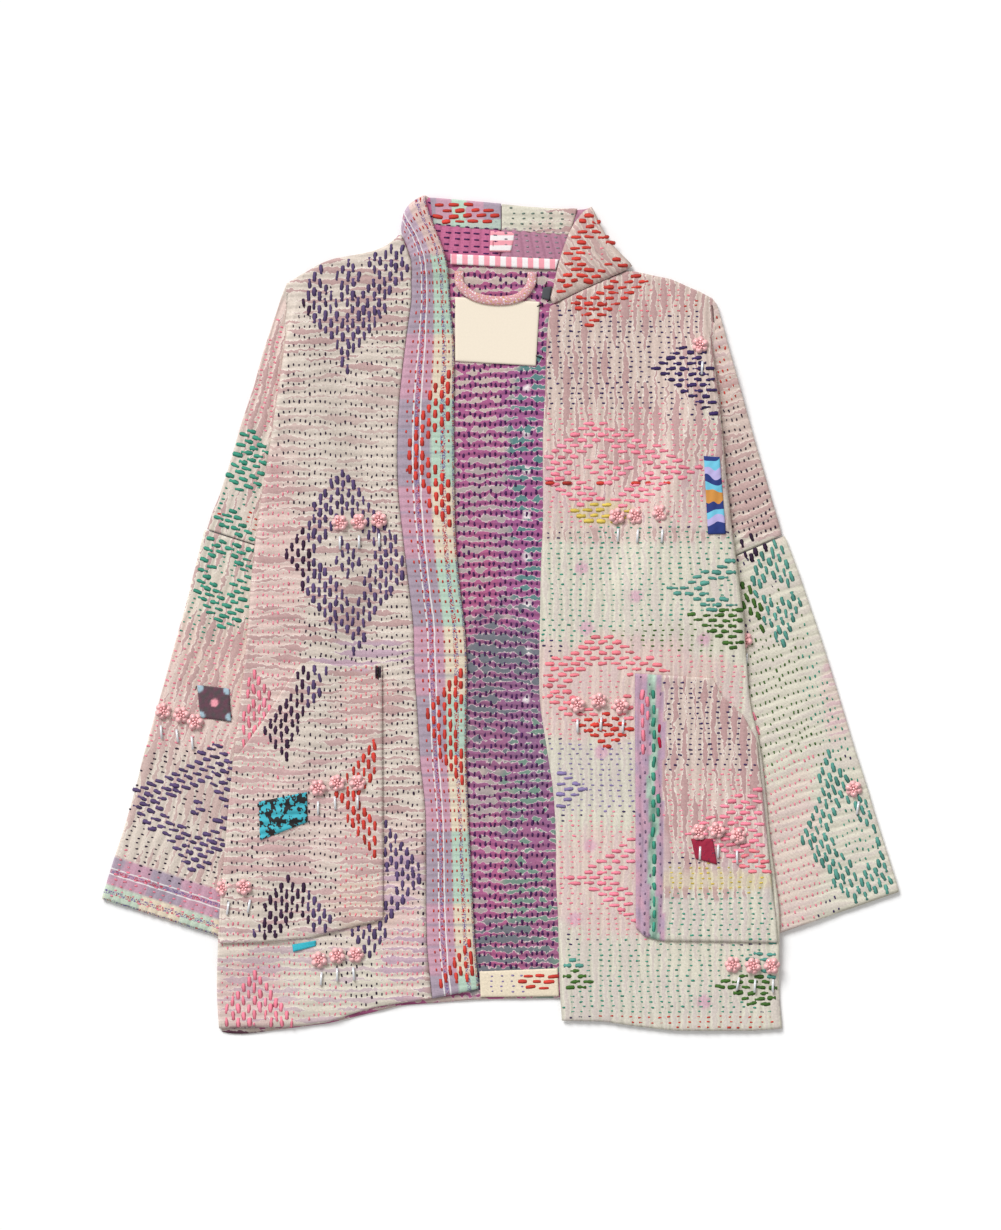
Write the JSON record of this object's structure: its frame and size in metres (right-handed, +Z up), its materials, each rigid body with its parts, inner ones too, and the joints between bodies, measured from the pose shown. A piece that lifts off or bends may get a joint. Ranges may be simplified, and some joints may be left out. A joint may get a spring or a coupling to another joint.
{
  "type": "quilted open jacket with sequin flowers, laid flat",
  "caption": "Open-fronted quilted cotton jacket with dropped sleeves, shawl band and patch pockets, laid flat with its arms folded down.",
  "frame": {"origin": "middle of the laid-out jacket's box, on the surface that it rests on", "axes": "+Z up from the surface, +Y up the garment to the collar, +X to the right of the picture"},
  "size_m": [0.759, 0.7982, 0.0156],
  "materials": {
    "quilt": "worn printed cotton, quilted with running stitches",
    "quilt_right": "worn printed cotton, quilted with running stitches",
    "inside": "printed cotton, quilted with dark running stitches",
    "band": "woven border cloth with speckled stripes, quilted",
    "gingham": "pink and white checked cotton tape",
    "brocade": "dusty pink ribbon with gold flecks",
    "label": "smooth cream satin label, left bare",
    "slate": "dark grey woven tab, left bare",
    "patches": "scraps of printed cotton, hand sewn",
    "thread": "coloured cotton thread",
    "sequins": "pink translucent sequin petals with pearly beads",
    "beads": "silver-lined bugle beads"
  },
  "bodies": {
    "root": {"back": "inside", "front_left": "quilt", "front_right": "quilt_right", "sleeve_left": "quilt", "sleeve_right": "quilt_right", "band_left": "band", "collar_right": "quilt_right", "pocket_left": "quilt", "pocket_right": "quilt_right", "patch_leaf": "patches", "patch_dots": "patches", "patch_waves": "patches", "patch_crimson": "patches", "patch_aqua": "patches", "collar_turn_left": "band", "collar_turn_right": "quilt_right", "collar_tape": "gingham", "neck_tape": "gingham", "label": "label", "size_tab": "slate", "back_hem_turn": "band", "hanger_loop": "brocade"}
  },
  "joints": []
}
